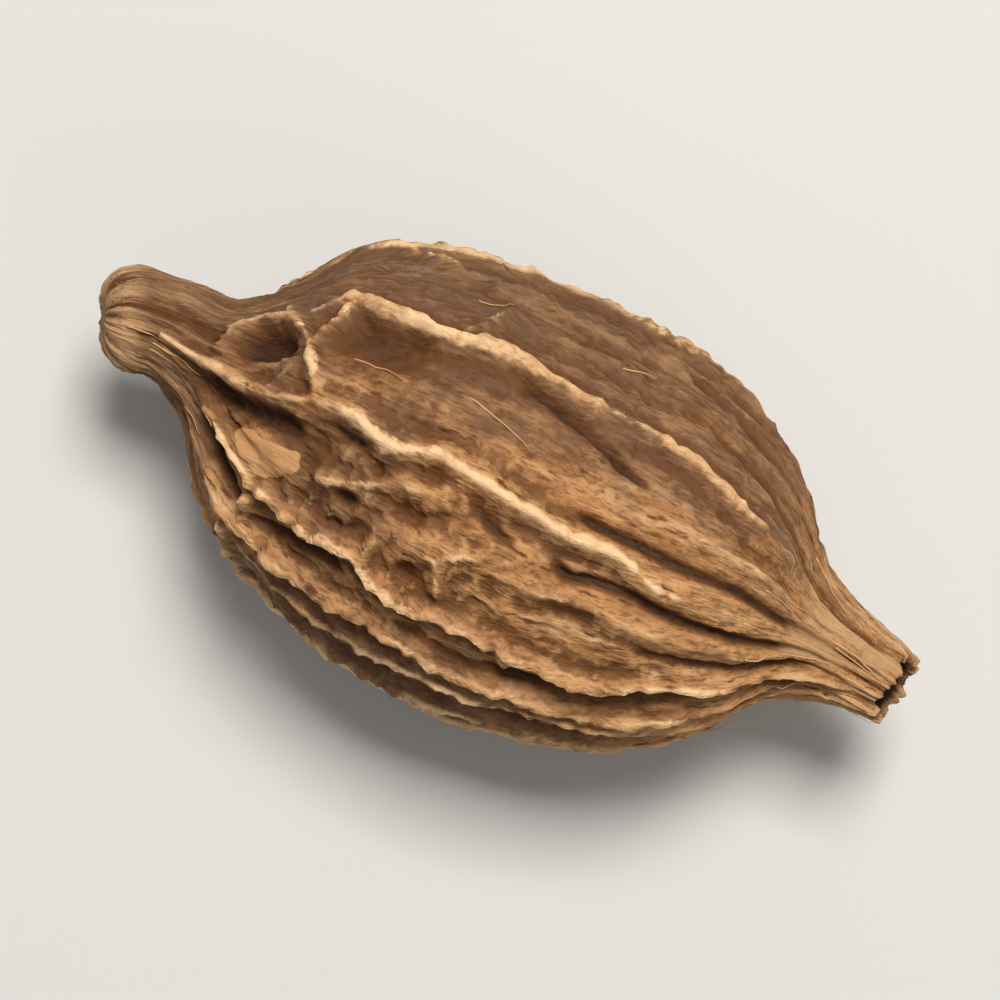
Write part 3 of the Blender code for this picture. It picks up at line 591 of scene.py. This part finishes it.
# One point at each end, the rows between them, and faces that all look outward. The flat map unrolls them.
count = skin.shape[1]
ring = np.arange(count)
ring_after = (ring + 1) % count
points = np.vstack([skin[:1, 0], skin[1:-1].reshape(-1, 3), skin[-1:, 0]])
faces = [(0, 1 + k, 1 + i) for i, k in zip(ring, ring_after)]
face_maps = [((i + 0.5, 0), (i + 1, 1), (i, 1)) for i in ring]
for row in range(ROWS - 3):
    here = 1 + row * count
    faces += zip(here + ring, here + ring_after, here + count + ring_after, here + count + ring)
    face_maps += [((i, row + 1), (i + 1, row + 1), (i + 1, row + 2), (i, row + 2)) for i in ring]
last = 1 + (ROWS - 3) * count
faces += [(len(points) - 1, last + i, last + k) for i, k in zip(ring, ring_after)]
face_maps += [((i + 0.5, ROWS - 1), (i, ROWS - 2), (i + 1, ROWS - 2)) for i in ring]

husk_mesh = bpy.data.meshes.new("husk")
husk_mesh.from_pydata(points.tolist(), [], [tuple(int(i) for i in face) for face in faces])
husk_mesh.shade_smooth()
flat_map = husk_mesh.uv_layers.new(name="OFBake")
places = np.array([corner for corners in face_maps for corner in corners], np.float32)
flat_map.data.foreach_set("uv", (places / np.array([count, ROWS - 1], np.float32)).ravel())


def keep(mesh, name, values):
    """Stores one number for each point of the skin."""
    store = mesh.attributes.new(name, "FLOAT", "POINT")
    flat = np.concatenate([values[:1, 0], values[1:-1].ravel(), values[-1:, 0]])
    store.data.foreach_set("value", flat.astype(np.float32))


def blurred(values, reach):
    """The average over a square of neighbours, wrapping round the pod."""
    total = np.pad(values, ((reach, reach), (0, 0)), mode="edge")
    total = sum(np.roll(total, step, 0) for step in range(-reach, reach + 1))[reach:-reach]
    total = sum(np.roll(total, step, 1) for step in range(-reach, reach + 1))
    return total / (2 * reach + 1) ** 2


# What the colours follow: the crests, what stands out from its neighbours, what lies deep (both also used for
# painted shade), and the grain, which runs lengthwise.
FULL_CREST = 0.55 * MM
FULL_STANDING = 0.30 * MM
FULL_DEPTH = 0.50 * MM
GRAIN_RADIUS = 5.0 * MM
GRAIN_STRETCH = 0.16

keep(husk_mesh, "crest", np.clip(crest * row_share / FULL_CREST, 0.0, 1.0))
keep(husk_mesh, "standing", np.clip(0.5 + (relief - blurred(relief, 4)) / FULL_STANDING, 0.0, 1.0))
# How deep each point lies, which sets the painted shade in grooves, hollows, pits, streaks and slits.
deep = (groove * clear + hollow + 1.2 * pit + 1.5 * streaks) * row_share
deep = deep + 1.7 * slit * np.maximum(row_share, 0.75)
keep(husk_mesh, "recess_shade", np.clip(deep / FULL_DEPTH, 0.0, 2.0))
keep(husk_mesh, "scrap", scrap)
keep(husk_mesh, "mouth", inside_mouth + 0 * x)
keep(husk_mesh, "along", along)
keep(husk_mesh, "end_ridge", 0.5 + 0.5 * end_ridges * at_ends)
grain = husk_mesh.attributes.new("grain", "FLOAT_VECTOR", "POINT")
lengthwise = GRAIN_STRETCH * (at[:, None] + 0 * x)
grain_radius = GRAIN_RADIUS * np.clip(row_radius / (1.5 * MM), 0.0, 1.0)
grain_place = np.stack([grain_radius * np.cos(angle), grain_radius * np.sin(angle), lengthwise], -1)
grain_flat = np.vstack([grain_place[:1, 0], grain_place[1:-1].reshape(-1, 3), grain_place[-1:, 0]])
grain.data.foreach_set("vector", grain_flat.astype(np.float32).ravel())


class Wire:
    """A socket of a material's nodes, so that shader maths can be written as Python expressions."""

    def __init__(self, tree, socket=None):
        self.tree = tree
        self.socket = socket

    def node(self, kind, settings=None, sockets=None, output=0):
        """Adds a node: its settings first, then the values or links of its sockets."""
        made = self.tree.nodes.new(kind)
        for name, value in (settings or {}).items():
            setattr(made, name, value)
        for name, value in (sockets or {}).items():
            if isinstance(value, Wire):
                self.tree.links.new(value.socket, made.inputs[name])
            else:
                made.inputs[name].default_value = value
        return Wire(self.tree, made.outputs[output])

    def math(self, operation, first, second):
        return self.node("ShaderNodeMath", {"operation": operation}, {0: first, 1: second})

    def __add__(self, other):
        return self.math("ADD", self, other)

    __radd__ = __add__

    def __sub__(self, other):
        return self.math("SUBTRACT", self, other)

    def __rsub__(self, other):
        return self.math("SUBTRACT", other, self)

    def __mul__(self, other):
        return self.math("MULTIPLY", self, other)

    __rmul__ = __mul__


def rise(value, low, high):
    """0 below low and 1 above high, eased between."""
    limits = {"Value": value, "From Min": low, "From Max": high}
    return value.node("ShaderNodeMapRange", {"interpolation_type": "SMOOTHSTEP"}, limits)


def mixed(share_of_second, first, second):
    """One colour over another."""
    sockets = {"Factor": share_of_second, 6: first, 7: second}
    return share_of_second.node("ShaderNodeMix", {"data_type": "RGBA"}, sockets, 2)


def noise(wire, vector, size, detail=3.0, roughness=0.55):
    """Noise whose lumps are about one size across, in metres."""
    sockets = {"Vector": vector, "Scale": 1.0 / size, "Detail": detail, "Roughness": roughness}
    return wire.node("ShaderNodeTexNoise", None, sockets)


def stored(wire, name, output="Fac"):
    """A number or a vector kept on the skin's points."""
    return wire.node("ShaderNodeAttribute", {"attribute_name": name}, None, output)


# Brown that a smoky fire darkened, paler where the crests were rubbed, and golden towards the tube, with
# darker browns for painted shade and a bright tan for painted glints.
DEEP_SHADE_BROWN = (0.026, 0.0095, 0.0028, 1.0)
DARK_BROWN = (0.108, 0.037, 0.0075, 1.0)
SIDE_SHADE_BROWN = (0.095, 0.045, 0.020, 1.0)
SMOKY_SHADED_BROWN = (0.165, 0.080, 0.036, 1.0)
BROWN = (0.350, 0.158, 0.052, 1.0)
TAN = (0.530, 0.275, 0.112, 1.0)
PALE_TAN = (0.600, 0.360, 0.175, 1.0)
GLINT_TAN = (0.800, 0.530, 0.290, 1.0)

husk_look = bpy.data.materials.new("dried_husk")
husk_look.use_nodes = True
shader = husk_look.node_tree.nodes["Principled BSDF"]
wire = Wire(husk_look.node_tree)
place = wire.node("ShaderNodeTexCoord", None, None, "Object")
grain_way = stored(wire, "grain", "Vector")
at_crest = stored(wire, "crest")
standing = stored(wire, "standing")
recess_shade = stored(wire, "recess_shade")
papery = stored(wire, "scrap")
mouth_shade = stored(wire, "mouth")
end_to_end = stored(wire, "along")
end_ridge = stored(wire, "end_ridge")

# Blotches and specks lie in the skin. Fibres and streaks follow its grain.
blotches = noise(wire, place, 3.2 * MM)
mottle = noise(wire, place, 0.9 * MM, 4.0, 0.6)
fine_fibre = noise(wire, grain_way, 0.16 * MM, 4.0, 0.6)
hair_fibre = noise(wire, grain_way, 0.070 * MM, 2.0, 0.6)
long_fibre = noise(wire, grain_way, 0.42 * MM, roughness=0.6)
broad_streak = noise(wire, grain_way, 0.8 * MM, roughness=0.65)
specks = noise(wire, place, 0.28 * MM, 2.0, 0.6)

# Smoke darkens the husk in blotches, and painted shade darkens it more at the stalk end and down both sides.
# The husk is golden towards the tube, less so on the shaded back side.
across = wire.node("ShaderNodeSeparateXYZ", None, {"Vector": place}, "Y")
# The two sides across the pod, which are darkened as painted shade.
shaded_back_side = rise(across, 0.5 * MM, 4.5 * MM)
shaded_front_side = rise(-1.0 * across, 4.2 * MM, 7.0 * MM)
smoke_and_shade = rise(
    blotches + 0.35 * (mottle - 0.5) - 0.32 * end_to_end + 0.38 * shaded_back_side + 0.26 * shaded_front_side, 0.28, 0.52
)
colour = mixed(smoke_and_shade, BROWN, SMOKY_SHADED_BROWN)
golden = rise(end_to_end + 0.20 * (blotches - 0.5) - 0.25 * shaded_back_side, 0.55, 0.95)
colour = mixed(golden * 0.45, colour, TAN)
colour = mixed(rise(long_fibre + 0.5 * mottle, 0.66, 0.96) * (1.0 - 0.50 * smoke_and_shade), colour, TAN)
colour = mixed(rise(fine_fibre + 0.4 * (standing - 0.5), 0.50, 0.74) * (0.60 - 0.36 * smoke_and_shade), colour, TAN)
colour = mixed(rise(1.0 - broad_streak + 0.4 * (specks - 0.5), 0.50, 0.66) * 0.50, colour, DARK_BROWN)
pale_streak = rise(broad_streak + 0.4 * (fine_fibre - 0.5), 0.54, 0.68)
colour = mixed(pale_streak * (0.60 - 0.35 * smoke_and_shade), colour, PALE_TAN)
# Painted shade: both sides towards the stalk end are darkened further with a shade brown.
painted_side_shade = (0.50 * shaded_back_side + 0.50 * shaded_front_side) * rise(1.0 - end_to_end, 0.10, 0.55)
colour = mixed(painted_side_shade, colour, SIDE_SHADE_BROWN)

# Painted shade darkens furrows, hollows, slits and what lies lower than its neighbours, and what lies between
# the fibres is dark too.
colour = mixed(rise(1.0 - standing + 0.6 * (specks - 0.5), 0.55, 0.92) * 0.75, colour, DARK_BROWN)
colour = mixed(rise(recess_shade + 0.5 * (mottle - 0.5), 0.22, 0.95) * 0.80, colour, DARK_BROWN)
colour = mixed(rise(recess_shade + 0.5 * (mottle - 0.5), 0.80, 1.60) * 0.80, colour, DEEP_SHADE_BROWN)
colour = mixed(1.0 - rise(fine_fibre, 0.30, 0.44), colour, DARK_BROWN)
colour = mixed(0.55 - 0.55 * rise(hair_fibre, 0.34, 0.50), colour, DARK_BROWN)

# Crests are rubbed pale, and here and there carry painted bright glints.
worn = rise(at_crest + 1.1 * (mottle - 0.5) + 0.8 * (fine_fibre - 0.5), 0.45, 0.92)
colour = mixed(worn * 0.85, colour, TAN)
pale = rise(at_crest * standing + 0.8 * (specks - 0.5) + 1.2 * (blotches - 0.5), 0.50, 0.86)
colour = mixed(pale * (0.35 + 0.65 * rise(hair_fibre, 0.40, 0.56)), colour, PALE_TAN)
# Painted highlight: bright tan glints on the highest crests.
glint_noise = noise(wire, grain_way, 0.75 * MM, 2.0, 0.5)
painted_glint = rise(at_crest * standing, 0.36, 0.72) * rise(glint_noise + 0.3 * (specks - 0.5), 0.50, 0.60)
colour = mixed(painted_glint * 0.80, colour, GLINT_TAN)

# The ridged ends, the knob's end painted pale as a highlight, the smooth scrap of skin and painted shade
# inside the mouth.
colour = mixed(rise(1.0 - end_ridge + 0.3 * (fine_fibre - 0.5), 0.54, 0.82) * 0.85, colour, DARK_BROWN)
pale_ridge = rise(end_ridge + 0.3 * (fine_fibre - 0.5), 0.60, 0.92)
colour = mixed(pale_ridge * (0.15 + 0.50 * rise(end_to_end, 0.5, 0.9)), colour, PALE_TAN)
# Painted highlight: the knob's end is lightened to pale tan along its fibres.
at_knob = rise(1.0 - end_to_end + 0.02 * (mottle - 0.5), 0.945, 0.985)
colour = mixed(at_knob * rise(fine_fibre + 0.5 * (end_ridge - 0.5), 0.38, 0.60) * 0.75, colour, PALE_TAN)
colour = mixed(rise(papery + 0.25 * (mottle - 0.5), 0.30, 0.55) * 0.80, colour, TAN)
# Painted shade: the inside of the tube's mouth is coloured deep brown.
colour = mixed(rise(mouth_shade, 0.15, 0.75), colour, DEEP_SHADE_BROWN)
roughness = 0.74 - 0.22 * worn + 0.16 * (fine_fibre - 0.5) - 0.10 * papery

bump_height = 0.060 * fine_fibre + 0.05 * long_fibre + 0.030 * mottle + 0.02 * specks + 0.032 * hair_fibre
bump = wire.node("ShaderNodeBump", None, {"Strength": 0.9, "Distance": 1.6 * MM, "Height": bump_height})
for name, value in {"Base Color": colour, "Roughness": roughness, "Normal": bump}.items():
    wire.tree.links.new(value.socket, shader.inputs[name])
shader.inputs["Specular IOR Level"].default_value = 0.30
husk_mesh.materials.append(husk_look)

husk = bpy.data.objects.new("husk", husk_mesh)
bpy.context.scene.collection.objects.link(husk)
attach(husk, "root")
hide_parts("pod")

# The loose fibres: hair-thin strands of the husk that worked free of the crests, the knob and the torn rim as
# the pods were dried and rubbed together. Each one follows its rib, tapers, and lifts off at its end.
STRAND_RADIUS = 0.026 * MM
STRAND_SIDES = 5
STRAND_STEPS = 12
STRAND_RUN = (7, 22)  # how many rows of the skin it runs along
STRAND_STRAY = 1.6  # about how many columns beside a crest it starts
STRAND_DRIFT = 2.2  # about how many columns it drifts
# How many strands start between these two shares of the skin's rows, and how far their ends lift, in mm.
STRAND_GROUPS = [
    (26, 0.20, 0.74, 0.30),
    (12, 0.05, 0.18, 0.22),
    (18, 0.72, 0.86, 0.40),
]

across_rows = np.gradient(skin, axis=0)
across_columns = np.roll(skin, -1, 1) - np.roll(skin, 1, 1)
outward = np.cross(across_columns, across_rows)
outward /= np.maximum(np.linalg.norm(outward, axis=-1, keepdims=True), 1e-12)


def read_skin(values, rows, columns):
    """The skin's points or directions at fractional rows and columns of its layout."""
    row = np.clip(np.floor(rows).astype(int), 0, ROWS - 2)
    column = np.floor(columns).astype(int) % count
    along_row, along_column = (rows - row)[:, None], (columns - np.floor(columns))[:, None]
    near = values[row, column] * (1 - along_column) + values[row, (column + 1) % count] * along_column
    far = values[row + 1, column] * (1 - along_column) + values[row + 1, (column + 1) % count] * along_column
    return near * (1 - along_row) + far * along_row


chance = np.random.default_rng(5)
strand_points = []
strand_faces = []
for how_many, first_share, last_share, lift_mm in STRAND_GROUPS:
    for _ in range(how_many):
        run = chance.uniform(*STRAND_RUN)
        start_row = chance.uniform(first_share, last_share) * ROWS
        start_column = chance.integers(0, len(RIBS)) * COLUMNS_PER_GAP + chance.normal(0.0, STRAND_STRAY)
        drift = chance.normal(0.0, STRAND_DRIFT)
        wave = chance.uniform(-1.0, 1.0)
        lift = chance.uniform(0.15, 1.0) * lift_mm * MM
        thick = chance.uniform(0.7, 1.25) * STRAND_RADIUS
        step = np.linspace(0.0, 1.0, STRAND_STEPS)
        rows = start_row + run * step
        columns = start_column + drift * step**1.5 + wave * np.sin(4.5 * step)
        line = read_skin(skin, rows, columns)
        line = line + read_skin(outward, rows, columns) * (0.4 * thick + lift * step**2.5)[:, None]
        line[:, 2] = np.maximum(line[:, 2], 1.5 * thick)
        ahead = np.gradient(line, axis=0)
        ahead /= np.linalg.norm(ahead, axis=1, keepdims=True)
        first_side = np.cross(ahead, read_skin(outward, rows, columns))
        first_side /= np.linalg.norm(first_side, axis=1, keepdims=True)
        second_side = np.cross(ahead, first_side)
        base = len(strand_points)
        width = thick * (1.0 - 0.75 * step**2)
        for k in range(STRAND_SIDES):
            turned = 2 * np.pi * k / STRAND_SIDES
            offset = first_side * math.cos(turned) + second_side * math.sin(turned)
            strand_points += (line + offset * width[:, None]).tolist()
        for k in range(STRAND_SIDES):
            here, beside = base + k * STRAND_STEPS, base + (k + 1) % STRAND_SIDES * STRAND_STEPS
            for i in range(STRAND_STEPS - 1):
                strand_faces.append((here + i, beside + i, beside + i + 1, here + i + 1))
        first_points = [base + k * STRAND_STEPS for k in range(STRAND_SIDES)]
        strand_faces.append(tuple(reversed(first_points)))
        strand_faces.append(tuple(point + STRAND_STEPS - 1 for point in first_points))

strand_mesh = bpy.data.meshes.new("loose_fibres")
strand_mesh.from_pydata(strand_points, [], strand_faces)
strand_mesh.shade_smooth()
strand_look = bpy.data.materials.new("dry_fibre")
strand_look.use_nodes = True
strand_shader = strand_look.node_tree.nodes["Principled BSDF"]
strand_wire = Wire(strand_look.node_tree)
strand_place = strand_wire.node("ShaderNodeTexCoord", None, None, "Object")
strand_colour = mixed(rise(noise(strand_wire, strand_place, 1.2 * MM), 0.35, 0.65), TAN, PALE_TAN)
strand_wire.tree.links.new(strand_colour.socket, strand_shader.inputs["Base Color"])
strand_shader.inputs["Roughness"].default_value = 0.6
strand_mesh.materials.append(strand_look)
loose_fibres = bpy.data.objects.new("loose_fibres", strand_mesh)
bpy.context.scene.collection.objects.link(loose_fibres)
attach(loose_fibres, "root")

# The table that the pod lies on and the light it is seen by: a plain pale sheet, a soft lamp almost straight
# above and a weak one from the lower right. The camera looks straight down, and is turned so that the pod's
# flower tube points to the lower right of the picture.
AXIS_TURN_DEG = 25.2  # how far the pod's long axis runs downhill in the picture
VIEW_WIDTH = 33.5 * MM
LENS_MM = 150.0
SENSOR_MM = 36.0
TABLE_HALF_WIDTH = 2
TABLE_GAP = 0.02 * MM  # keeps the sheet from showing through the worn ribs
PAPER = (0.60, 0.59, 0.57, 1.0)
GREY_PAPER = (0.58, 0.575, 0.56, 1.0)
SKY = (0.90, 0.89, 0.87, 1.0)
SKY_STRENGTH = 0.30

floor_mesh = bpy.data.meshes.new("table_top")
corners = [(TABLE_HALF_WIDTH * i, TABLE_HALF_WIDTH * k, 0) for i, k in ((-1, -1), (1, -1), (1, 1), (-1, 1))]
floor_mesh.from_pydata(corners, [], [(0, 1, 2, 3)])
table_top = bpy.data.objects.new("table_top", floor_mesh)
bpy.context.scene.collection.objects.link(table_top)
table_top.location.z = -TABLE_GAP

scene = bpy.context.scene
scene.view_settings.view_transform = "Standard"
sky = bpy.data.worlds.new("soft_sky")
sky.use_nodes = True
sky.node_tree.nodes["Background"].inputs["Color"].default_value = SKY
sky.node_tree.nodes["Background"].inputs["Strength"].default_value = SKY_STRENGTH
scene.world = sky

middle = (plain_box[0] + plain_box[1]) / 2
turn = math.radians(AXIS_TURN_DEG)
picture_right = Vector((math.cos(turn), math.sin(turn), 0.0))
picture_up = Vector((-math.sin(turn), math.cos(turn), 0.0))

camera_data = bpy.data.cameras.new("camera")
camera_data.lens = LENS_MM
camera_data.sensor_width = SENSOR_MM
camera_data.clip_start = 0.001
camera_data.clip_end = 10.0
camera = bpy.data.objects.new("camera", camera_data)
distance = VIEW_WIDTH * LENS_MM / SENSOR_MM
look = Matrix((picture_right, picture_up, Vector((0.0, 0.0, 1.0)))).transposed().to_4x4()
camera.matrix_world = Matrix.Translation(middle + Vector((0.0, 0.0, distance))) @ look
scene.collection.objects.link(camera)
scene.camera = camera


def lamp(name, towards, size, power, colour):
    """A soft square lamp that faces the pod from a place given as right, up and towards the viewer."""
    data = bpy.data.lights.new(name, "AREA")
    data.size = size
    data.energy = power
    data.color = colour
    place = bpy.data.objects.new(name, data)
    away = picture_right * towards[0] + picture_up * towards[1] + Vector((0.0, 0.0, towards[2]))
    place.location = middle + away
    place.rotation_euler = away.to_track_quat("Z", "Y").to_euler()
    place.visible_camera = False
    scene.collection.objects.link(place)


lamp("window", (0.05, 0.15, 0.36), 0.13, 1.86, (1.0, 0.975, 0.93))
lamp("fill", (0.26, -0.26, 0.20), 0.30, 0.22, (1.0, 0.99, 0.97))

sheet_look = bpy.data.materials.new("pale_sheet")
sheet_look.use_nodes = True
sheet_shader = sheet_look.node_tree.nodes["Principled BSDF"]
sheet_wire = Wire(sheet_look.node_tree)
sheet_place = sheet_wire.node("ShaderNodeTexCoord", None, None, "Object")
sheet_shade = mixed(noise(sheet_wire, sheet_place, 60.0 * MM), PAPER, GREY_PAPER)
sheet_wire.tree.links.new(sheet_shade.socket, sheet_shader.inputs["Base Color"])
sheet_shader.inputs["Roughness"].default_value = 0.85
floor_mesh.materials.append(sheet_look)
